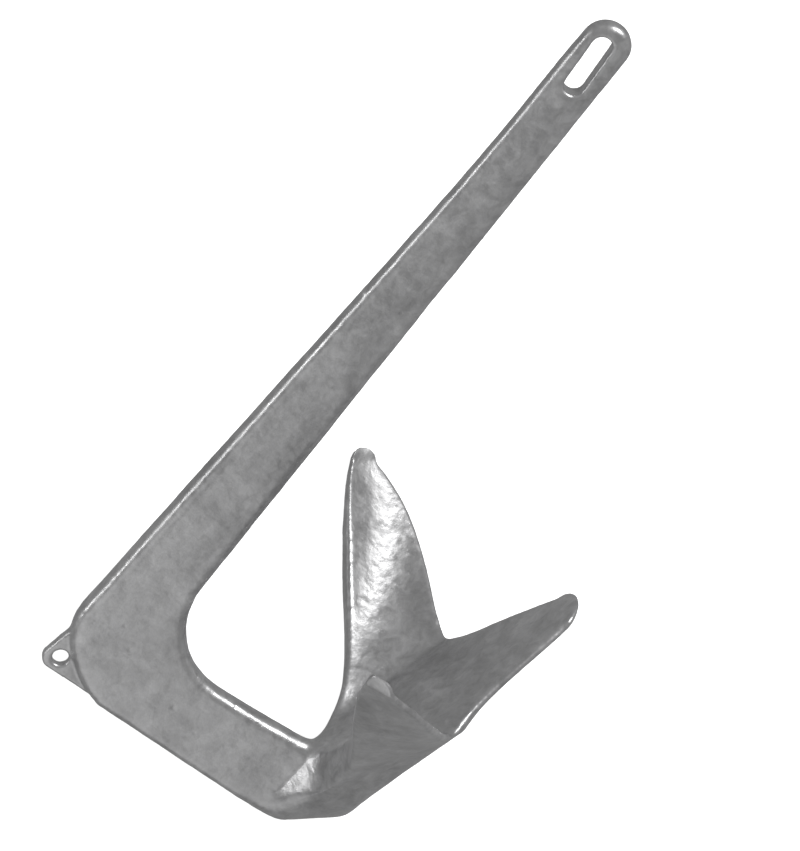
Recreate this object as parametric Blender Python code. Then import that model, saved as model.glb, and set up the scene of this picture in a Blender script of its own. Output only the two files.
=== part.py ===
"""Claw boat anchor: one galvanised casting drawn as nine named members.

Anchor frame (before it is laid down): X runs along the shank from the heel
to the eye, Y runs across the anchor to starboard, Z runs from the shank
towards the flukes.  Everything is in metres; the tables are in millimetres
and are scaled by MM.
"""
import math

import bmesh
import bpy
from mathutils import Matrix, Vector

for old in list(bpy.data.objects):
    bpy.data.objects.remove(old, do_unlink=True)

SIZE = 1.04                  # the tables are drawn for a 452 mm anchor, built at 470 mm
MM = 0.001 * SIZE

# ---------------------------------------------------------------- dimensions
GAP = 0.3                    # gap left between neighbouring members
T_HEEL = 13.2                # bar thickness at the heel and arm
T_EYE = 10.6                 # bar thickness at the eye
BAR_ROUND = 4.8              # edge rounding of the bar
BAR_GROW = 0.45              # the rounded edge stands this far outside the drawn outline
EYE_X, EYE_Z, EYE_R = 433.2, -3.2, 12.5
SLOT_X0, SLOT_Z0 = 408.0, -2.2      # slot end centres
SLOT_X1, SLOT_Z1 = 432.6, -5.0
SLOT_R = 5.3
SLOT_ROUND = 1.5
OUTER = [(30.0, -10.1), (120.0, -10.5), (210.0, -10.7), (300.0, -11.0), (360.0, -12.3),
         (395.0, -13.9), (416.0, -15.1)]
THROAT_TOP = (70.0, 29.9)    # where the inner edge enters the throat
THROAT = [(70.0, 29.9), (57.8, 34.4), (49.0, 40.8), (41.6, 48.6), (36.9, 58.0),
          (34.8, 69.0), (35.5, 88.5), (37.2, 108.5), (38.8, 124.0)]
ARM_INNER_END = (41.8, 136.0)
HEEL_ARC = [(-8.2, 30.0), (-4.8, 19.3), (0.4, 9.8), (7.6, 0.6), (15.2, -5.7), (22.0, -8.8),
            (30.0, -10.1)]
LUG_T = 5.8                  # tripping lug thickness
LUG_ROUND = 1.4
LUG_CORNER = (-8.6, -9.6)
LUG_CORNER_R = 6.5
LUG_HOLE = (0.5, -1.1)
LUG_HOLE_R = 4.3
SEAM_EYE_X = 388.0           # shank eye / shank bar
SEAM_HEEL_X = 74.0           # shank bar / heel bend
SEAM_ARM_Z = 66.0            # heel bend / arm
CROWN_Z = 131.5              # arm / crown
SEAM_NOSE_X = 108.8          # crown / centre fluke

# palm, all (x, y, z) for the starboard half
N_TOP = (108.8, 52.2, 162.7)      # notch between side and centre fluke
N_BOT = (108.8, 53.0, 166.8)
MID_TOP_Z, MID_BOT_Z = 160.4, 180.5
FOLD_T = (44.0, 10.0, 133.2)      # fold line start beside the arm
# wing stations: back rim, front rim, thickness at back, thickness at front, hollow
WING = [
    ((44.0, 10.0, 133.2), (108.8, 52.2, 162.7), 21.0, 4.6, 0.0),
    ((60.5, 25.5, 132.4), (111.8, 63.6, 156.8), 18.0, 4.6, 1.4),
    ((73.2, 43.0, 127.0), (115.4, 74.4, 151.2), 15.0, 4.6, 2.6),
    ((84.6, 59.0, 119.2), (119.6, 85.4, 145.4), 12.5, 4.6, 3.2),
    ((96.4, 73.4, 110.0), (124.0, 96.8, 138.2), 10.4, 4.6, 3.0),
    ((108.2, 87.6, 101.0), (128.3, 106.8, 130.0), 8.6, 4.6, 2.4),
    ((119.6, 101.6, 92.8), (132.6, 116.0, 120.2), 7.2, 4.6, 1.6),
    ((128.0, 112.6, 87.6), (136.0, 123.4, 108.6), 6.0, 4.6, 0.8),
    ((133.0, 118.6, 85.6), (137.8, 126.6, 99.4), 5.0, 4.4, 0.3),
]
WING_TIP = (139.4, 126.2, 87.2)
# centre fluke stations: x, half width, edge z, mid z, keel z, edge thickness
NOSE = [
    (108.8, 52.2, 162.7, 160.4, 180.5, 4.5),
    (115.0, 45.2, 164.2, 162.2, 180.9, 4.5),
    (123.0, 39.2, 166.0, 164.4, 181.5, 4.5),
    (134.0, 34.0, 168.8, 167.6, 182.4, 4.5),
    (146.0, 29.2, 172.0, 171.2, 183.4, 4.5),
    (158.0, 24.2, 175.3, 174.8, 184.4, 4.5),
    (168.0, 20.0, 178.2, 177.9, 185.4, 4.5),
    (175.0, 16.8, 180.2, 180.0, 186.1, 4.4),
]
NOSE_TIP_X, NOSE_TIP_Z = 186.4, 184.0

# ------------------------------------------------------------------ materials


def zinc(name, base, rough, metal=0.85):
    mat = bpy.data.materials.new(name)
    mat.use_nodes = True
    bsdf = mat.node_tree.nodes["Principled BSDF"]
    bsdf.inputs["Base Color"].default_value = (*base, 1.0)
    bsdf.inputs["Roughness"].default_value = rough
    bsdf.inputs["Metallic"].default_value = metal
    mat.diffuse_color = (*base, 1.0)
    return mat


# ------------------------------------------------------------------- helpers
BODY = bpy.data.collections.new("claw_anchor")
bpy.context.scene.collection.children.link(BODY)
CUT = bpy.data.collections.new("claw_anchor_cutters")
bpy.context.scene.collection.children.link(CUT)
LAY = bpy.data.objects.new("anchor_lay", None)
LAY.empty_display_size = 0.05
BODY.objects.link(LAY)
MADE = []


def finish_mesh(me):
    bm = bmesh.new()
    bm.from_mesh(me)
    bmesh.ops.remove_doubles(bm, verts=bm.verts, dist=0.00001)
    bmesh.ops.triangulate(bm, faces=bm.faces)
    bmesh.ops.recalc_face_normals(bm, faces=bm.faces)
    if bm.calc_volume(signed=True) < 0:
        bmesh.ops.reverse_faces(bm, faces=bm.faces)
    bm.to_mesh(me)
    bm.free()
    return me


def add_member(name, me, mat):
    me.name = name
    ob = bpy.data.objects.new(name, me)
    me.materials.clear()
    me.materials.append(mat)
    BODY.objects.link(ob)
    ob.parent = LAY
    MADE.append(ob)
    return ob


def catmull(pts, per):
    """Points of a centripetal-like smooth run through pts, per steps a span."""
    out = []
    n = len(pts)
    for i in range(n - 1):
        p0 = pts[i - 1] if i > 0 else pts[i] * 2 - pts[i + 1]
        p1, p2 = pts[i], pts[i + 1]
        p3 = pts[i + 2] if i + 2 < n else pts[i + 1] * 2 - pts[i]
        d0 = max((p1 - p0).length, 1e-6) ** 0.5
        d1 = max((p2 - p1).length, 1e-6) ** 0.5
        d2 = max((p3 - p2).length, 1e-6) ** 0.5
        m1 = (p1 - p0) / d0 - (p2 - p0) / (d0 + d1) + (p2 - p1) / d1
        m2 = (p2 - p1) / d1 - (p3 - p1) / (d1 + d2) + (p3 - p2) / d2
        m1, m2 = m1 * d1, m2 * d1
        for k in range(per):
            t = k / per
            h = (2 * t ** 3 - 3 * t ** 2 + 1, t ** 3 - 2 * t ** 2 + t,
                 -2 * t ** 3 + 3 * t ** 2, t ** 3 - t ** 2)
            out.append(p1 * h[0] + m1 * h[1] + p2 * h[2] + m2 * h[3])
    out.append(pts[-1].copy())
    return out


def run2(pairs, per=6):
    return [(p.x, p.y) for p in catmull([Vector((a, b, 0)) for a, b in pairs], per)]


def tangent(point, centre, radius, side):
    """Touch point of the line from point to the circle; side +1 or -1."""
    dx, dz = centre[0] - point[0], centre[1] - point[1]
    dist = math.hypot(dx, dz)
    base = math.atan2(dz, dx)
    turn = math.acos(radius / dist)
    ang = base + math.pi + side * turn
    return centre[0] + radius * math.cos(ang), centre[1] + radius * math.sin(ang), ang


def prism(name, loops, half, round_, steps=3, grow=0.0):
    """Flat plate from closed 2D loops, edges rounded: a filled curve extruded both ways."""
    cu = bpy.data.curves.new(name, "CURVE")
    cu.dimensions = "2D"
    cu.fill_mode = "BOTH"
    for loop in loops:
        sp = cu.splines.new("POLY")
        sp.points.add(len(loop) - 1)
        for p, (a, b) in zip(sp.points, loop):
            p.co = (a * MM, b * MM, 0.0, 1.0)
        sp.use_cyclic_u = True
    cu.extrude = (half - round_) * MM
    cu.bevel_depth = round_ * MM
    cu.bevel_resolution = steps
    cu.offset = (grow - round_) * MM
    ob = bpy.data.objects.new(name, cu)
    CUT.objects.link(ob)
    dg = bpy.context.evaluated_depsgraph_get()
    me = bpy.data.meshes.new_from_object(ob.evaluated_get(dg))
    bpy.data.objects.remove(ob, do_unlink=True)
    bpy.data.curves.remove(cu)
    me.transform(Matrix.Rotation(math.radians(90), 4, "X"))
    bm = bmesh.new()
    bm.from_mesh(me)
    bmesh.ops.remove_doubles(bm, verts=bm.verts, dist=0.00002)
    bmesh.ops.recalc_face_normals(bm, faces=bm.faces)
    bm.to_mesh(me)
    bm.free()
    return me


def slice_mesh(src, cuts, name):
    """Copy of a closed mesh, keeping the side each plane normal points to."""
    bm = bmesh.new()
    bm.from_mesh(src)
    for point, normal in cuts:
        geom = bm.verts[:] + bm.edges[:] + bm.faces[:]
        res = bmesh.ops.bisect_plane(
            bm, geom=geom, dist=1e-7, plane_co=Vector(point) * MM,
            plane_no=Vector(normal), clear_inner=True)
        edges = [e for e in bm.edges if e.is_boundary]
        if edges:
            bmesh.ops.holes_fill(bm, edges=edges, sides=0)
    me = bpy.data.meshes.new(name)
    bm.to_mesh(me)
    bm.free()
    return finish_mesh(me)


def loft(name, rings, cap_start=True, cap_end=True):
    """Skin a run of equal-count rings of unlike sections and close both ends."""
    bm = bmesh.new()
    rows = [[bm.verts.new(p * MM) for p in ring] for ring in rings]
    n = len(rings[0])
    for a, b in zip(rows, rows[1:]):
        for i in range(n):
            j = (i + 1) % n
            bm.faces.new((a[i], a[j], b[j], b[i]))
    if cap_start:
        bm.faces.new(rows[0][::-1])
    if cap_end:
        bm.faces.new(rows[-1])
    me = bpy.data.meshes.new(name)
    bm.to_mesh(me)
    bm.free()
    return finish_mesh(me)


# ------------------------------------------------------------------ flat bar
tx1, tz1, a_in = tangent(THROAT_TOP, (EYE_X, EYE_Z), EYE_R, +1)
tx2, tz2, a_alt = tangent(THROAT_TOP, (EYE_X, EYE_Z), EYE_R, -1)
if tz2 > tz1:
    tx1, tz1, a_in = tx2, tz2, a_alt
a_out = math.radians(-94.0)
while a_in < a_out:
    a_in += 2 * math.pi
ARC_STEPS = 26
eye_arc = [(EYE_X + EYE_R * math.cos(a_out + (a_in - a_out) * i / ARC_STEPS),
            EYE_Z + EYE_R * math.sin(a_out + (a_in - a_out) * i / ARC_STEPS))
           for i in range(ARC_STEPS + 1)]
outer = run2(OUTER + [eye_arc[0]], 4)[1:-1]
inner = [(tx1 + (THROAT_TOP[0] - tx1) * i / 12,
          tz1 + (THROAT_TOP[1] - tz1) * i / 12) for i in range(1, 12)]
throat = run2(THROAT, 5)
heel = run2(HEEL_ARC, 5)
bar_loop = (outer + eye_arc + inner + throat
            + [ARM_INNER_END, (42.5, 150.0), (-5.0, 150.0)]
            + [(-5.0, 149.7)] + heel)

sa = math.atan2(SLOT_Z1 - SLOT_Z0, SLOT_X1 - SLOT_X0)


def stadium(r, y):
    ring = []
    for cx, cz, start in ((SLOT_X1, SLOT_Z1, sa - math.pi / 2), (SLOT_X0, SLOT_Z0, sa + math.pi / 2)):
        for k in range(13):
            a = start + math.pi * k / 12
            ring.append(Vector((cx + r * math.cos(a), y, cz + r * math.sin(a))))
    return ring


bar = prism("bar", [bar_loop], T_HEEL / 2, BAR_ROUND, 4, BAR_GROW)
# the bar thins evenly from heel to eye
for v in bar.vertices:
    t = min(max((v.co.x / MM - SEAM_HEEL_X) / (SEAM_EYE_X - SEAM_HEEL_X), 0.0), 1.0)
    v.co.y *= 1.0 + (T_EYE / T_HEEL - 1.0) * t

# spool-shaped cutter: straight slot wall, rims opening out in a quarter round
te = T_EYE / 2
spool = [stadium(SLOT_R + SLOT_ROUND + 0.6, -te - 1.0)]
prof = [(SLOT_R + SLOT_ROUND * (1 - math.cos(math.radians(15 * k))),
         te - SLOT_ROUND + SLOT_ROUND * math.sin(math.radians(15 * k))) for k in range(7)]
spool += [stadium(r, -y) for r, y in prof[::-1]] + [stadium(r, y) for r, y in prof]
spool.append(stadium(SLOT_R + SLOT_ROUND + 0.6, te + 1.0))
cutter = bpy.data.objects.new("slot_cutter", loft("slot_cutter", spool))
cutter.hide_render = True
cutter.display_type = "WIRE"
CUT.objects.link(cutter)
blank = bpy.data.objects.new("eye_blank", slice_mesh(bar, [((SEAM_EYE_X + GAP / 2, 0, 0), (1, 0, 0))], "eye_blank"))
CUT.objects.link(blank)
cut = blank.modifiers.new("slot", "BOOLEAN")
cut.operation = "DIFFERENCE"
cut.solver = "EXACT"
cut.object = cutter
eye = bpy.data.meshes.new_from_object(blank.evaluated_get(bpy.context.evaluated_depsgraph_get()))
bpy.data.objects.remove(blank, do_unlink=True)

ZN_BAR = zinc("zinc_shank_bar", (0.47, 0.48, 0.49), 0.46)
ZN_EYE = zinc("zinc_shank_eye", (0.50, 0.51, 0.52), 0.42)
ZN_HEEL = zinc("zinc_heel_bend", (0.48, 0.49, 0.50), 0.46)
ZN_LUG = zinc("zinc_tripping_lug", (0.46, 0.47, 0.48), 0.48)
ZN_ARM = zinc("zinc_arm", (0.49, 0.50, 0.51), 0.45)
ZN_CROWN = zinc("zinc_crown", (0.44, 0.45, 0.46), 0.47)
ZN_NOSE = zinc("zinc_centre_fluke", (0.45, 0.46, 0.47), 0.45)
ZN_PORT = zinc("zinc_port_fluke", (0.46, 0.47, 0.48), 0.43)
ZN_STBD = zinc("zinc_starboard_fluke", (0.45, 0.46, 0.47), 0.45)

h = GAP / 2
add_member("shank_eye", finish_mesh(eye), ZN_EYE)
add_member("shank_bar", slice_mesh(bar, [((SEAM_HEEL_X + h, 0, 0), (1, 0, 0)),
                                         ((SEAM_EYE_X - h, 0, 0), (-1, 0, 0))], "shank_bar"), ZN_BAR)
add_member("heel_bend", slice_mesh(bar, [((SEAM_HEEL_X - h, 0, 0), (-1, 0, 0)),
                                         ((0, 0, SEAM_ARM_Z - h), (0, 0, -1))], "heel_bend"), ZN_HEEL)
add_member("arm", slice_mesh(bar, [((SEAM_HEEL_X - h, 0, 0), (-1, 0, 0)),
                                   ((0, 0, SEAM_ARM_Z + h), (0, 0, 1)),
                                   ((0, 0, CROWN_Z - h), (0, 0, -1))], "arm"), ZN_ARM)

# -------------------------------------------------------------- tripping lug
arc_off = []
hp = [Vector((a, b, 0)) for a, b in heel]
for i, p in enumerate(hp):
    d = (hp[min(i + 1, len(hp) - 1)] - hp[max(i - 1, 0)]).normalized()
    out = Vector((-abs(d.y), -abs(d.x), 0))
    q = p + out * (GAP + BAR_GROW)
    arc_off.append((q.x, q.y))
edge = [p for p in arc_off if p[1] < 25.0 and p[0] < 17.5]
cx, cz = LUG_CORNER[0] + LUG_CORNER_R + 0.6, LUG_CORNER[1] + LUG_CORNER_R
corner = [(cx + LUG_CORNER_R * math.cos(math.radians(270 - 90 * i / 8)),
           cz + LUG_CORNER_R * math.sin(math.radians(270 - 90 * i / 8))) for i in range(9)]
lug_loop = edge + corner
hole = [(LUG_HOLE[0] + LUG_HOLE_R * math.cos(2 * math.pi * i / 28),
         LUG_HOLE[1] + LUG_HOLE_R * math.sin(2 * math.pi * i / 28)) for i in range(28)]
lug = prism("lug", [lug_loop, hole], LUG_T / 2, LUG_ROUND, 3)
add_member("tripping_lug", finish_mesh(lug), ZN_LUG)

# ---------------------------------------------------------- crown and flukes
ROUND_STEPS = 4


def rounded(corners, cuts, spans, hollow=None):
    """Closed section through corners; cuts = corner rounding, spans = points a side."""
    n = len(corners)
    out = []
    for i in range(n):
        p, c, q = corners[i - 1], corners[i], corners[(i + 1) % n]
        d0 = min(cuts[i], (p - c).length * 0.45)
        d1 = min(cuts[i], (q - c).length * 0.45)
        a = c + (p - c).normalized() * d0
        b = c + (q - c).normalized() * d1
        for k in range(ROUND_STEPS + 1):
            t = k / ROUND_STEPS
            out.append(a * (1 - t) ** 2 + c * 2 * t * (1 - t) + b * t ** 2)
        nxt = corners[(i + 1) % n]
        d2 = min(cuts[(i + 1) % n], (nxt - c).length * 0.45)
        e = nxt + (c - nxt).normalized() * d2
        for k in range(1, spans[i]):
            t = k / spans[i]
            pt = b * (1 - t) + e * t
            if hollow is not None and i == 0:
                pt = pt + hollow * (4 * t * (1 - t))
            out.append(pt)
    return out


SPANS = [8, 2, 4, 3, 2, 4]


def nose_top(y):
    return MID_TOP_Z + (N_TOP[2] - MID_TOP_Z) * (abs(y) / N_TOP[1]) ** 2


def nose_bot(y):
    return MID_BOT_Z + (N_BOT[2] - MID_BOT_Z) * min(abs(y) / N_BOT[1], 1.0) ** 1.5


def crown_section(y, t_pt, k2, k1, b_pt, yn):
    corners = [Vector(t_pt), Vector((SEAM_NOSE_X, yn, nose_top(yn))),
               Vector((SEAM_NOSE_X, yn, nose_bot(yn))), Vector(k2), Vector(k1), Vector(b_pt)]
    return rounded(corners, [0.0, 0.0, 0.0, 5.0, 4.0, 0.0], SPANS, Vector((0, 0, 0)))


half = []
half.append(crown_section(0.0, (41.5, 0.0, CROWN_Z), (19.4, 0.0, 168.6), (-4.0, 0.0, 142.0),
                          (-5.5, 0.0, CROWN_Z), 0.0))
half.append(crown_section(3.6, (41.5, 3.6, CROWN_Z), (19.4, 3.6, 168.6), (-4.0, 3.6, 142.0),
                          (-5.5, 3.6, CROWN_Z), 11.0))
half.append(crown_section(7.1, (41.5, 7.1, CROWN_Z), (21.2, 7.1, 167.0), (-1.6, 7.1, 141.2),
                          (-2.2, 7.1, CROWN_Z), 26.0))
half.append(crown_section(10.0, (42.6, 8.6, CROWN_Z + 0.6), (36.0, 18.5, 163.4), (12.5, 13.5, 143.5),
                          (12.0, 13.0, CROWN_Z + 4.0), 40.0))


def wing_section(i):
    back, front, tb, tf, sag = WING[i]
    back, front = Vector(back), Vector(front)
    j0, j1 = max(i - 1, 0), min(i + 1, len(WING) - 1)
    span = ((Vector(WING[j1][0]) + Vector(WING[j1][1]))
            - (Vector(WING[j0][0]) + Vector(WING[j0][1]))).normalized()
    n = span.cross(front - back).normalized()
    if n.x > 0:
        n = -n
    of = front + n * tf
    ob = back + n * tb
    if i == 0:
        of = Vector(N_BOT)
        ob = Vector((26.0, 21.5, 142.5))
    c3 = of.lerp(ob, 0.5)
    c4 = of.lerp(ob, 0.82)
    r = min(tf * 0.42, 2.2)
    cuts = [min(tb * 0.3, 2.6), r, r, 4.0, 3.0, min(tb * 0.42, 6.0)]
    if i == 0:
        cuts = [1.2, 0.0, 0.0, 4.0, 3.0, 6.0]
    return rounded([back, front, of, c3, c4, ob], cuts, SPANS, n * sag)


wings = [wing_section(i) for i in range(len(WING))]
# the seam ring is flattened into one plane so that both members meet face to face
seam = wings[0]
s_p = Vector(WING[0][0])
s_n = (Vector(WING[0][1]) - s_p).cross(Vector((26.0, 21.5, 142.5)) - s_p).normalized()
if s_n.y < 0:
    s_n = -s_n
seam = [p - s_n * (p - s_p).dot(s_n) for p in seam]
wings[0] = seam
half.append([p.copy() for p in seam])

FINE = 4


def blend(rings, per):
    """Smooth run across a list of rings, point by point."""
    n = len(rings[0])
    cols = [catmull([r[i] for r in rings], per) for i in range(n)]
    return [[cols[i][k] for i in range(n)] for k in range(len(cols[0]))]


whole = blend(half + wings[1:], FINE)
seam_at = (len(half) - 1) * FINE
crown_half = whole[:seam_at + 1]
wing_run = whole[seam_at:]


def mirror_ring(ring):
    return [Vector((p.x, -p.y, p.z)) for p in ring]


# rounded tip: the sections close in on the tip point along a quarter turn
last = wing_run[-1]
mid = sum(last, Vector((0, 0, 0))) / len(last)
tip = Vector(WING_TIP)
for k in range(1, 7):
    a = math.radians(90 * k / 6.4)
    s = math.cos(a)
    wing_run.append([mid + (tip - mid) * math.sin(a) + (p - mid) * max(s, 0.05) for p in last])

stb = [[p + s_n * h for p in wing_run[0]]] + wing_run[1:]
add_member("starboard_fluke", loft("starboard_fluke", stb), ZN_STBD)
prt = [mirror_ring(r) for r in stb]
add_member("port_fluke", loft("port_fluke", prt), ZN_PORT)

edge_ring = [p - s_n * h for p in crown_half[-1]]
right = crown_half[:-1] + [edge_ring]
full = [mirror_ring(r) for r in right[::-1]] + right[1:]
full = [[Vector((min(p.x, SEAM_NOSE_X - h), p.y, max(p.z, CROWN_Z + h))) for p in r] for r in full]
add_member("crown", loft("crown", full), ZN_CROWN)

# centre fluke
NOSE_FINE = 3


def nose_ring(x, hw, ze, zm, zk, te):
    top, bot = [], []
    steps = 14
    r = min(te * 0.42, 2.2)
    if x <= NOSE[0][0] + 0.5:
        r = 0.05
    for k in range(steps + 1):
        t = -1 + 2 * k / steps
        top.append(Vector((x, t * (hw - r), zm + (ze - zm) * t * t)))
        bot.append(Vector((x, -t * (hw - r), zk + (ze + te - zk) * abs(t) ** 1.5)))
    ring = list(top)
    for k in range(1, 6):
        a = math.pi * k / 6
        ring.append(Vector((x, hw - r + r * math.sin(a), ze + te / 2 - te / 2 * math.cos(a))))
    ring += bot
    for k in range(1, 6):
        a = math.pi * k / 6
        ring.append(Vector((x, -(hw - r) - r * math.sin(a), ze + te / 2 + te / 2 * math.cos(a))))
    return ring


rows = catmull([Vector((a[0], a[1], a[2])) for a in NOSE], NOSE_FINE)
more = catmull([Vector((a[3], a[4], a[5])) for a in NOSE], NOSE_FINE)
nose = [nose_ring(p.x, p.y, p.z, q.x, q.y, q.z) for p, q in zip(rows, more)]
nose[0] = [p + Vector((h, 0, 0)) for p in nose[0]]
last = nose[-1]
mid = sum(last, Vector((0, 0, 0))) / len(last)
tip = Vector((NOSE_TIP_X, 0, NOSE_TIP_Z))
for k in range(1, 8):
    a = math.radians(90 * k / 7.4)
    nose.append([mid + (tip - mid) * math.sin(a) + (p - mid) * max(math.cos(a), 0.05) for p in last])
add_member("centre_fluke", loft("centre_fluke", nose), ZN_NOSE)

# ------------------------------------------------------------- laying it down
# The anchor lies on the back edge of the arm (heel end and crown end) and on
# the port fluke tip.  The floor normal is found from those three touch points.


def lowest(names, normal, keep):
    best = None
    for ob in MADE:
        if ob.name in names:
            for v in ob.data.vertices:
                if keep(v.co) and (best is None or v.co.dot(normal) < best.dot(normal)):
                    best = v.co
    return best


floor = Vector((0.66, 0.75, -0.02)).normalized()
for step in range(16):
    foot_heel = lowest(("heel_bend", "tripping_lug"), floor, lambda c: c.z < 0.048)
    foot_crown = lowest(("arm", "crown"), floor, lambda c: c.z > 0.120)
    foot_fluke = lowest(("port_fluke",), floor, lambda c: True)
    nrm = (foot_crown - foot_heel).cross(foot_fluke - foot_heel).normalized()
    floor = nrm if nrm.dot(floor) > 0 else -nrm
along = Vector((1, 0, 0))
x_dir = (along - floor * along.dot(floor)).normalized()
y_dir = floor.cross(x_dir)
rot = Matrix((x_dir, y_dir, floor)).to_4x4()
pts = [rot @ v.co for ob in MADE for v in ob.data.vertices]
low = Vector((min(p.x for p in pts), min(p.y for p in pts), min(p.z for p in pts)))
top = Vector((max(p.x for p in pts), max(p.y for p in pts), max(p.z for p in pts)))
LAY.matrix_world = Matrix.Translation(
    Vector((-(low.x + top.x) / 2, -(low.y + top.y) / 2, -low.z))) @ rot
bpy.context.view_layer.update()
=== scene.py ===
"""Looks of the galvanised claw anchor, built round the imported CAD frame.

The nine CAD members are skinned as one continuous casting (voxel remesh, relaxed so the
members run into each other with cast fillets), roughened like a sand casting, then cut
along the CAD seams into nine closed pieces that each stand for one CAD member.
"""
import math

import bmesh
import bpy
import numpy as np
from mathutils import Matrix, Vector, noise


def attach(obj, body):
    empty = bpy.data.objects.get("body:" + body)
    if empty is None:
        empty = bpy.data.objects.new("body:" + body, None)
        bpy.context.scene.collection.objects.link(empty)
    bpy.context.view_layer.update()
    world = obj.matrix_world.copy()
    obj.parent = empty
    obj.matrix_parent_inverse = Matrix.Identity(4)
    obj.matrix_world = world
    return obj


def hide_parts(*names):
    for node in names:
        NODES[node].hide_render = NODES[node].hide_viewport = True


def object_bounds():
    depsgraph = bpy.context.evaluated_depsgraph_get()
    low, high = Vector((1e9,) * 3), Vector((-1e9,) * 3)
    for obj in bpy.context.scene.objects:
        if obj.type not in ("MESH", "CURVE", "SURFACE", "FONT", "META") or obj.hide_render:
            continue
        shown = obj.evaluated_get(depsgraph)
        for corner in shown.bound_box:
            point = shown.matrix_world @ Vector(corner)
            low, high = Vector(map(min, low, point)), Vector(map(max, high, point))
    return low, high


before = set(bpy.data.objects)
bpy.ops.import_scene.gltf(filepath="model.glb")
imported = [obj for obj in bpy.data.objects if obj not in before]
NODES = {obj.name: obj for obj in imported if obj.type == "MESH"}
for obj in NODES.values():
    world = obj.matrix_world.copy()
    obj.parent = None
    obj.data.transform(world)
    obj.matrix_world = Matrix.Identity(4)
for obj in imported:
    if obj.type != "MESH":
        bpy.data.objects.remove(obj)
CAD_LO, CAD_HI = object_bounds()
MM = 0.00104                     # one drawing millimetre of the anchor, in metres
VOXEL = 0.00085

# anchor frame -> row frame: X heel to eye, Y to starboard, Z shank to flukes
LAY = Matrix(((0.748892486, -0.662509441, 0.015532660, -0.170274526),
              (0.000000000, -0.023438742, -0.999725223, 0.088467546),
              (0.662691534, 0.748686731, -0.017553091, 0.009570351),
              (0.0, 0.0, 0.0, 1.0)))
ROT = np.array([[LAY[i][j] for j in range(3)] for i in range(3)])
ORG = np.array([LAY[i][3] for i in range(3)])


def to_anchor(p):
    return (p - ORG) @ ROT


def to_row(p):
    return p @ ROT.T + ORG


# ------------------------------------------------------------------ one skin
bm = bmesh.new()
for name in sorted(NODES):
    me = NODES[name].data
    part = bmesh.new()
    part.from_mesh(me)
    bmesh.ops.remove_doubles(part, verts=part.verts, dist=0.00001)
    part.normal_update()
    grow = 0.00026
    co = {v: v.co + v.normal * grow for v in part.verts}
    for v, c in co.items():
        v.co = c
    tmp = bpy.data.meshes.new("tmp_" + name)
    part.to_mesh(tmp)
    part.free()
    bm.from_mesh(tmp)
    bpy.data.meshes.remove(tmp)
skin_me = bpy.data.meshes.new("casting")
bm.to_mesh(skin_me)
bm.free()
skin = bpy.data.objects.new("casting", skin_me)
bpy.context.scene.collection.objects.link(skin)
rm = skin.modifiers.new("skin", "REMESH")
rm.mode = "VOXEL"
rm.voxel_size = VOXEL
rm.adaptivity = 0.0
done = bpy.data.meshes.new_from_object(skin.evaluated_get(bpy.context.evaluated_depsgraph_get()))
bpy.data.objects.remove(skin, do_unlink=True)

# keep only the outer shell: any sealed pocket left inside a seam is dropped
bm = bmesh.new()
bm.from_mesh(done)
bm.verts.ensure_lookup_table()
seen = set()
best = []
for v in bm.verts:
    if v.index in seen:
        continue
    stack, group = [v], []
    seen.add(v.index)
    while stack:
        a = stack.pop()
        group.append(a)
        for e in a.link_edges:
            b = e.other_vert(a)
            if b.index not in seen:
                seen.add(b.index)
                stack.append(b)
    if len(group) > len(best):
        best = group
keep = set(best)
bmesh.ops.delete(bm, geom=[v for v in bm.verts if v not in keep], context="VERTS")
bm.to_mesh(done)
bm.free()

n = len(done.vertices)
co = np.zeros(n * 3)
done.vertices.foreach_get("co", co)
co = co.reshape(-1, 3)
ed = np.zeros(len(done.edges) * 2, dtype=np.int64)
done.edges.foreach_get("vertices", ed)
ed = ed.reshape(-1, 2)
deg = np.bincount(ed.ravel(), minlength=n).astype(float)[:, None]


def relax(p, weight, rounds, back=0.0):
    """Umbrella smoothing; back > 0 undoes most of the shrink each round."""
    w = weight[:, None]
    for _ in range(rounds):
        for lam in ((0.55,) if back == 0.0 else (0.55, -back)):
            s = np.zeros_like(p)
            for k in range(3):
                s[:, k] = np.bincount(ed[:, 0], weights=p[ed[:, 1], k], minlength=n)
                s[:, k] += np.bincount(ed[:, 1], weights=p[ed[:, 0], k], minlength=n)
            p = p + w * lam * (s / deg - p)
    return p


def ramp(x, a, b):
    t = np.clip((x - a) / (b - a), 0.0, 1.0)
    return t * t * (3 - 2 * t)


def set_co(p):
    done.vertices.foreach_set("co", p.ravel())
    done.update()


def normals():
    out = np.zeros(n * 3)
    done.vertex_normals.foreach_get("vector", out)
    return out.reshape(-1, 3)


one = np.ones(n)
step = 0.00085 / VOXEL
co = relax(co, one, int(10 * step) + 2, back=0.57)
loc = to_anchor(co) / MM
x, y, z = loc[:, 0], loc[:, 1], loc[:, 2]
ay = np.abs(y)

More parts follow.
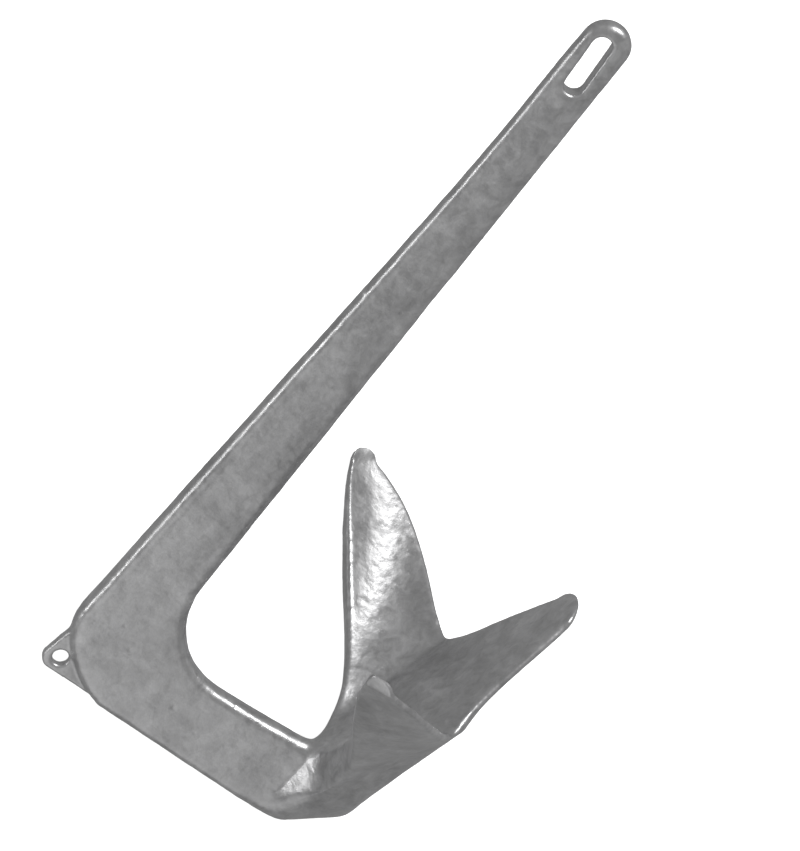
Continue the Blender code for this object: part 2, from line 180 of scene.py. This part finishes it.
# places where the casting has large fillets: fold of the palm, arm flare, heel lug
N_TOP = np.array([108.8, 52.2, 162.7])
FOLD_T = np.array([44.0, 10.0, 133.2])
fd = N_TOP - FOLD_T
flen = np.linalg.norm(fd)
fd = fd / flen
q = np.stack([x, ay, z], 1) - FOLD_T
t = np.clip(q @ fd, -4, flen + 2)
fold_dist = np.linalg.norm(q - t[:, None] * fd, axis=1)
w_fold = 1.0 - ramp(fold_dist, 5.0, 13.0)
w_flare = (1.0 - ramp(np.abs(z - 131.0), 6.0, 15.0)) * (1.0 - ramp(ay, 14.0, 22.0)) * (1 - ramp(x, 44, 60))
heel_d = np.abs(np.hypot(x - 50.0, z - 35.0) - 50.0)
w_lug = (1.0 - ramp(heel_d, 4.0, 8.0)) * (x < 24) * (z < 26) * (ay < 7.2)
w_tip = 0.25 * ((z > 100) & (x > 60))
extra = np.clip(np.maximum.reduce([w_fold, w_flare, w_lug * 0.35, w_tip]), 0, 1)
co = relax(co, extra, int(26 * step) + 4)
co = relax(co, w_flare * ramp(ay, 3.0, 6.0), int(44 * step) + 4)

# ------------------------------------------------- shape of the cast surface
set_co(co)
nrm = normals()
loc = to_anchor(co) / MM
x, y, z = loc[:, 0], loc[:, 1], loc[:, 2]
nl = nrm @ ROT                     # normals in the anchor frame
# the shank sides fall away a little towards the inner edge (mould draft)
u = np.clip((x - 70.0) / 330.0, 0, 1)
inner_v = 29.9 + (9.2 - 29.9) * u
outer_v = -10.3 - 4.0 * u
wob = np.array([noise.noise(Vector((a * 0.012, 3.1, 0.0))) for a in x]) * 2.4
frac = (z + wob - outer_v) / (inner_v - outer_v)
draft = np.clip((frac - 0.60) / 0.40, 0.0, 1.1) ** 1.15 * ramp(x, 50, 110) * (z < 45) * ramp(np.abs(nl[:, 1]), 0.2, 0.8)
move = -1.25 * draft
# slow unevenness of a hand-finished casting, then pebbly sand skin under the zinc
pts = [Vector(p) for p in loc]
slow = np.array([noise.noise(p * 0.030) + 0.5 * noise.noise(p * 0.075 + Vector((9, 4, 2))) for p in pts])
mid = np.array([noise.noise(p * 0.22 + Vector((3, 7, 1))) for p in pts])
fine = np.array([noise.noise(p * 0.55 + Vector((1, 2, 8))) for p in pts])
move = move + 0.26 * slow + 0.085 * mid + 0.045 * fine
# the side flukes thin out towards their tips
move = move - 0.85 * ramp(ay, 88.0, 120.0) * (1.0 - ramp(z, 96.0, 150.0))
# small frozen runs of zinc near the crown flare
for cx, cy, cz, rad, amp in ((14.0, 7.2, 134.0, 2.2, 0.35), (10.5, 7.0, 129.5, 1.6, -0.25),
                             (20.0, 7.6, 136.5, 2.0, 0.3), (254.0, 2.0, -10.9, 1.5, 0.7),
                             (251.0, 0.5, -10.9, 1.0, 0.5), (36.0, 7.1, 12.0, 1.1, -0.35),
                             (27.0, 7.1, 22.0, 1.2, -0.35), (15.0, 7.1, 60.0, 1.2, -0.4)):
    d2 = (x - cx) ** 2 + (y - cy) ** 2 + (z - cz) ** 2
    move = move + amp * np.exp(-d2 / rad ** 2)
co = co + nrm * (move[:, None] * MM) - nrm * (0.00022)
set_co(co)
nrm = normals()

# ------------------------------------------------------- cut along the seams
bm = bmesh.new()
bm.from_mesh(done)
keep_n = bm.verts.layers.float_vector.new("cast_normal")
for v in bm.verts:
    v[keep_n] = Vector(nrm[v.index])


def row_pt(a):
    return Vector(to_row(np.array(a, float) * MM))


def row_dir(a):
    return Vector(ROT @ np.array(a, float))


def score(point, normal, test):
    faces = [f for f in bm.faces if test(LAYI @ f.calc_center_median() / MM)]
    geom = set(faces)
    for f in faces:
        geom.update(f.edges)
        geom.update(f.verts)
    bmesh.ops.bisect_plane(bm, geom=list(geom), dist=1e-7, plane_co=row_pt(point),
                           plane_no=row_dir(normal))


LAYI = LAY.inverted()
EYE_X, HEEL_X, ARM_Z, CROWN_Z, NOSE_X = 388.0, 74.0, 66.0, 131.5, 108.8
S_P = Vector(FOLD_T)
S_N = (Vector(N_TOP) - S_P).cross(Vector((26.0, 21.5, 142.5)) - S_P).normalized()
if S_N.y < 0:
    S_N = -S_N
LUG_LINE = ((-7.6, 28.0), (-4.8, 19.3), (0.4, 9.8), (7.6, 0.6), (15.2, -5.7), (18.5, -7.6))

score((EYE_X, 0, 0), (1, 0, 0), lambda c: abs(c.x - EYE_X) < 4)
score((HEEL_X, 0, 0), (1, 0, 0), lambda c: abs(c.x - HEEL_X) < 4 and c.z < 60)
score((0, 0, ARM_Z), (0, 0, 1), lambda c: abs(c.z - ARM_Z) < 4 and c.x < 60 and abs(c.y) < 12)
score((0, 0, CROWN_Z), (0, 0, 1), lambda c: abs(c.z - CROWN_Z) < 4 and c.x < 48 and abs(c.y) < 9.5)
score((NOSE_X, 0, 0), (1, 0, 0), lambda c: abs(c.x - NOSE_X) < 4 and c.z > 150)
score(tuple(S_P), tuple(S_N), lambda c: abs((c - S_P).dot(S_N)) < 4 and c.z > 120 and c.y > 0)
SM = Vector((S_N.x, -S_N.y, S_N.z))
PM = Vector((S_P.x, -S_P.y, S_P.z))
score(tuple(PM), tuple(SM), lambda c: abs((c - PM).dot(SM)) < 4 and c.z > 120 and c.y < 0)


def lug_side(c):
    if c.x > 18.5 or c.z > 28.0:
        return False
    best = None
    for (a0, b0), (a1, b1) in zip(LUG_LINE, LUG_LINE[1:]):
        dx, dz = a1 - a0, b1 - b0
        length = math.hypot(dx, dz)
        s = ((c.x - a0) * dx + (c.z - b0) * dz) / length ** 2
        s = min(max(s, 0.0), 1.0)
        px, pz = a0 + dx * s, b0 + dz * s
        d = math.hypot(c.x - px, c.z - pz)
        side = (c.x - a0) * dz - (c.z - b0) * dx
        if best is None or d < best[0] - 1e-9:
            best = (d, side)
    return best[1] > 0


for (a0, b0), (a1, b1) in zip(LUG_LINE, LUG_LINE[1:]):
    mx, mz, half = (a0 + a1) / 2, (b0 + b1) / 2, math.hypot(a1 - a0, b1 - b0) / 2 + 0.9
    score((a0, 0, b0), (b1 - b0, 0, -(a1 - a0)),
          lambda c, mx=mx, mz=mz, half=half: math.hypot(c.x - mx, c.z - mz) < half)


def member(c):
    if lug_side(c):
        return "tripping_lug"
    if c.z < 60 and c.x > EYE_X:
        return "shank_eye"
    if c.z < 60 and c.x > HEEL_X:
        return "shank_bar"
    if c.z < ARM_Z and c.x < HEEL_X:
        return "heel_bend"
    if c.z < CROWN_Z and c.x < 48 and abs(c.y) < 9.5:
        return "arm"
    if c.y > 0 and (c - S_P).dot(S_N) > 0:
        return "starboard_fluke"
    if c.y < 0 and (c - PM).dot(SM) > 0:
        return "port_fluke"
    if c.x > NOSE_X:
        return "centre_fluke"
    return "crown"


groups = {}
for f in bm.faces:
    groups.setdefault(member(LAYI @ f.calc_center_median() / MM), []).append(f)


# ------------------------------------------------------------------ material
def node(nt, kind, x, y, **sockets):
    nd = nt.nodes.new(kind)
    nd.location = (x, y)
    for key, val in sockets.items():
        nd.inputs[key.replace("_", " ")].default_value = val
    return nd


def zinc(name, base, rough, metallic, seed):
    """Weathered hot-dip zinc: cloudy tone, faint spangle, fine pebbly bump, parting line."""
    mat = bpy.data.materials.new(name)
    mat.use_nodes = True
    nt = mat.node_tree
    bsdf = nt.nodes["Principled BSDF"]
    bsdf.inputs["Metallic"].default_value = metallic
    link = nt.links.new
    tc = node(nt, "ShaderNodeTexCoord", -1500, 0)
    mp = node(nt, "ShaderNodeMapping", -1300, 0)
    mp.inputs["Location"].default_value = (0.013, 0.007, 0.011)
    link(tc.outputs["Object"], mp.inputs["Vector"])
    cloud = node(nt, "ShaderNodeTexNoise", -1050, 300, Scale=34.0, Detail=5.0, Roughness=0.62, Distortion=0.6)
    blot = node(nt, "ShaderNodeTexNoise", -1050, 60, Scale=130.0, Detail=4.0, Roughness=0.6, Distortion=0.9)
    grain = node(nt, "ShaderNodeTexNoise", -1050, -180, Scale=620.0, Detail=3.0, Roughness=0.6)
    spang = node(nt, "ShaderNodeTexVoronoi", -1050, -420, Scale=150.0, Randomness=1.0)
    pits = node(nt, "ShaderNodeTexVoronoi", -1050, -660, Scale=55.0, Randomness=1.0)
    for t_ in (cloud, blot, grain, spang, pits):
        link(mp.outputs["Vector"], t_.inputs["Vector"])
    tone = node(nt, "ShaderNodeValToRGB", -780, 300)
    lo_, hi_ = tuple(c * 0.80 for c in base), tuple(min(c * 1.14, 1) for c in base)
    tone.color_ramp.elements[0].position = 0.30
    tone.color_ramp.elements[0].color = (*lo_, 1)
    tone.color_ramp.elements[1].position = 0.70
    tone.color_ramp.elements[1].color = (*hi_, 1)
    link(cloud.outputs["Fac"], tone.inputs["Fac"])
    spot = node(nt, "ShaderNodeValToRGB", -780, 60)
    spot.color_ramp.elements[0].position = 0.34
    spot.color_ramp.elements[0].color = (0.80, 0.80, 0.80, 1)
    spot.color_ramp.elements[1].position = 0.62
    spot.color_ramp.elements[1].color = (1.08, 1.08, 1.08, 1)
    link(blot.outputs["Fac"], spot.inputs["Fac"])
    mul = node(nt, "ShaderNodeMix", -520, 200)
    mul.data_type = "RGBA"
    mul.blend_type = "MULTIPLY"
    mul.inputs["Factor"].default_value = 0.75
    link(tone.outputs["Color"], mul.inputs[6])
    link(spot.outputs["Color"], mul.inputs[7])
    grey = node(nt, "ShaderNodeMapRange", -780, -180)
    grey.inputs["To Min"].default_value = 0.90
    grey.inputs["To Max"].default_value = 1.08
    link(grain.outputs["Fac"], grey.inputs["Value"])
    cells = node(nt, "ShaderNodeSeparateColor", -780, -420)
    link(spang.outputs["Color"], cells.inputs["Color"])
    cell = node(nt, "ShaderNodeMapRange", -560, -420)
    cell.inputs["To Min"].default_value = 0.955
    cell.inputs["To Max"].default_value = 1.035
    link(cells.outputs["Red"], cell.inputs["Value"])
    both = node(nt, "ShaderNodeMath", -400, -250)
    both.operation = "MULTIPLY"
    link(grey.outputs["Result"], both.inputs[0])
    link(cell.outputs["Result"], both.inputs[1])
    fin = node(nt, "ShaderNodeMix", -260, 200)
    fin.data_type = "RGBA"
    fin.blend_type = "MULTIPLY"
    fin.inputs["Factor"].default_value = 1.0
    link(mul.outputs[2], fin.inputs[6])
    link(both.outputs["Value"], fin.inputs[7])
    link(fin.outputs[2], bsdf.inputs["Base Color"])
    # roughness: cloudy, a little glossier on single spangles
    r1 = node(nt, "ShaderNodeMapRange", -520, -60)
    r1.inputs["From Min"].default_value = 0.3
    r1.inputs["From Max"].default_value = 0.7
    r1.inputs["To Min"].default_value = rough - 0.07
    r1.inputs["To Max"].default_value = rough + 0.07
    link(blot.outputs["Fac"], r1.inputs["Value"])
    r2 = node(nt, "ShaderNodeMath", -260, -60)
    r2.operation = "MULTIPLY"
    link(r1.outputs["Result"], r2.inputs[0])
    link(cell.outputs["Result"], r2.inputs[1])
    link(r2.outputs["Value"], bsdf.inputs["Roughness"])
    # relief: soft lumps, grain, a few casting pits, the parting line on the bar edges
    hum = node(nt, "ShaderNodeTexNoise", -1050, -900, Scale=210.0, Detail=3.0, Roughness=0.55)
    link(mp.outputs["Vector"], hum.inputs["Vector"])
    pit = node(nt, "ShaderNodeMapRange", -780, -660)
    pit.inputs["From Min"].default_value = 0.03
    pit.inputs["From Max"].default_value = 0.075
    link(pits.outputs["Distance"], pit.inputs["Value"])
    gsc = node(nt, "ShaderNodeMath", -780, -1060)
    gsc.operation = "MULTIPLY"
    gsc.inputs[1].default_value = 0.32
    link(grain.outputs["Fac"], gsc.inputs[0])
    add1 = node(nt, "ShaderNodeMath", -600, -900)
    link(hum.outputs["Fac"], add1.inputs[0])
    link(gsc.outputs["Value"], add1.inputs[1])
    psc = node(nt, "ShaderNodeMath", -600, -700)
    psc.operation = "MULTIPLY"
    psc.inputs[1].default_value = 0.55
    link(pit.outputs["Result"], psc.inputs[0])
    add2 = node(nt, "ShaderNodeMath", -430, -800)
    link(add1.outputs["Value"], add2.inputs[0])
    link(psc.outputs["Value"], add2.inputs[1])
    dot = node(nt, "ShaderNodeVectorMath", -1050, -1140)
    dot.operation = "DOT_PRODUCT"
    dot.inputs[1].default_value = tuple(ROT[:, 1])
    link(tc.outputs["Object"], dot.inputs[0])
    off = node(nt, "ShaderNodeMath", -860, -1240)
    off.operation = "SUBTRACT"
    off.inputs[1].default_value = float(ORG @ ROT[:, 1])
    link(dot.outputs["Value"], off.inputs[0])
    absn = node(nt, "ShaderNodeMath", -700, -1240)
    absn.operation = "ABSOLUTE"
    link(off.outputs["Value"], absn.inputs[0])
    line = node(nt, "ShaderNodeMapRange", -540, -1240)
    line.inputs["From Min"].default_value = 0.0
    line.inputs["From Max"].default_value = 0.0006
    line.inputs["To Min"].default_value = 0.45 if seed else 0.0
    line.inputs["To Max"].default_value = 0.0
    link(absn.outputs["Value"], line.inputs["Value"])
    add3 = node(nt, "ShaderNodeMath", -260, -900)
    link(add2.outputs["Value"], add3.inputs[0])
    link(line.outputs["Result"], add3.inputs[1])
    bump = node(nt, "ShaderNodeBump", -120, -700)
    bump.inputs["Strength"].default_value = 0.55
    bump.inputs["Distance"].default_value = 0.00032
    link(add3.outputs["Value"], bump.inputs["Height"])
    link(bump.outputs["Normal"], bsdf.inputs["Normal"])
    mat.diffuse_color = (*base, 1)
    return mat


BASE = {"shank_eye": 0.56, "shank_bar": 0.56, "heel_bend": 0.56, "tripping_lug": 0.56, "arm": 0.56,
        "crown": 0.56, "centre_fluke": 0.56, "port_fluke": 0.56, "starboard_fluke": 0.56}
EDGE_LINE = ("shank_eye", "shank_bar", "heel_bend", "arm", "tripping_lug")

# -------------------------------------------------------------------- pieces
for name in sorted(NODES):
    faces = groups[name]
    pb = bmesh.new()
    lay = pb.verts.layers.float_vector.new("cast_normal")
    made = {}
    for f in faces:
        vs = []
        for v in f.verts:
            if v not in made:
                w = pb.verts.new(v.co)
                w[lay] = v[keep_n]
                made[v] = w
            vs.append(made[v])
        pb.faces.new(vs).smooth = True
    pb.normal_update()
    rim = [e for e in pb.edges if e.is_boundary]
    caps = bmesh.ops.holes_fill(pb, edges=rim, sides=0)["faces"] if rim else []
    caps = bmesh.ops.triangulate(pb, faces=caps)["faces"] if caps else []
    for f in caps:
        f.smooth = False
    me = bpy.data.meshes.new(name + "_cast")
    pb.to_mesh(me)
    pb.free()
    cast = [Vector(d.vector) for d in me.attributes["cast_normal"].data]
    loops = []
    for p in me.polygons:
        for i in p.vertices:
            loops.append(cast[i].normalized() if p.use_smooth and cast[i].length > 0.1 else p.normal.copy())
    me.attributes.remove(me.attributes["cast_normal"])
    me.normals_split_custom_set(loops)
    ob = bpy.data.objects.new(name + "_cast", me)
    bpy.context.scene.collection.objects.link(ob)
    b = BASE[name]
    me.materials.append(zinc("galv_" + name, (b, b, b * 1.008), 0.37, 0.82, name in EDGE_LINE))
    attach(ob, "root")
    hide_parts(name)
bm.free()
bpy.data.meshes.remove(done)

# --------------------------------------------------------------------- stage
# camera frame: r = picture right, w = picture up, c = towards the camera (anchor frame)
PX = 0.000523138
r = np.array([0.633305, 0.035255, 0.773099])
w = np.array([0.699899, -0.452385, -0.552711])
r = r / np.linalg.norm(r)
w = w - r * (w @ r)
w = w / np.linalg.norm(w)
c = np.cross(r, w)
R, W, C = ROT @ r, ROT @ w, ROT @ c
DIST = 8.0
centre = r * (400 - 61.14) * PX + w * (657.64 - 425.5) * PX
cam_data = bpy.data.cameras.new("camera")
cam_data.lens = 36.0 * DIST / (851 * PX)
cam_data.sensor_width = 36.0
cam_data.clip_end = 60.0
cam = bpy.data.objects.new("camera", cam_data)
bpy.context.scene.collection.objects.link(cam)
eye = ROT @ (centre + c * (DIST + 0.01)) + ORG
cam.matrix_world = Matrix(((R[0], W[0], C[0], eye[0]), (R[1], W[1], C[1], eye[1]),
                           (R[2], W[2], C[2], eye[2]), (0, 0, 0, 1)))
bpy.context.scene.camera = cam

world = bpy.data.worlds.new("studio")
world.use_nodes = True
world.node_tree.nodes["Background"].inputs["Color"].default_value = (1, 1, 1, 1)
world.node_tree.nodes["Background"].inputs["Strength"].default_value = 0.31
bpy.context.scene.world = world
AIM = Vector(((CAD_LO[0] + CAD_HI[0]) / 2, (CAD_LO[1] + CAD_HI[1]) / 2, 0.10))


def softbox(name, right, up, near, size, power, away=2.2):
    """Area light placed in picture directions from the object, aimed at it."""
    d = (R * right + W * up + C * near)
    d = Vector(d / np.linalg.norm(d))
    li = bpy.data.lights.new(name, "AREA")
    li.shape = "DISK"
    li.size = size
    li.energy = power
    ob = bpy.data.objects.new(name, li)
    bpy.context.scene.collection.objects.link(ob)
    ob.location = AIM + d * away
    ob.rotation_mode = "QUATERNION"
    ob.rotation_quaternion = d.to_track_quat("Z", "Y")


softbox("key", 0.65, 0.355, 0.67, 0.28, 25.0)
softbox("front", -0.42, -0.80, 0.46, 1.3, 1.7, 1.25)
softbox("left", -0.85, 0.10, 0.50, 0.40, 5.0)

fl = bpy.data.meshes.new("floor")
fb = bmesh.new()
bmesh.ops.create_grid(fb, x_segments=8, y_segments=8, size=6.0)
fb.to_mesh(fl)
fb.free()
floor = bpy.data.objects.new("floor", fl)
bpy.context.scene.collection.objects.link(floor)
fm = bpy.data.materials.new("pale_floor")
fm.use_nodes = True
fbs = fm.node_tree.nodes["Principled BSDF"]
fbs.inputs["Base Color"].default_value = (0.92, 0.92, 0.92, 1)
fbs.inputs["Roughness"].default_value = 0.9
fbs.inputs["Emission Color"].default_value = (1, 1, 1, 1)
fbs.inputs["Emission Strength"].default_value = 0.85
fl.materials.append(fm)
floor.visible_glossy = False
floor.visible_diffuse = False
bpy.context.scene.view_settings.view_transform = "Standard"
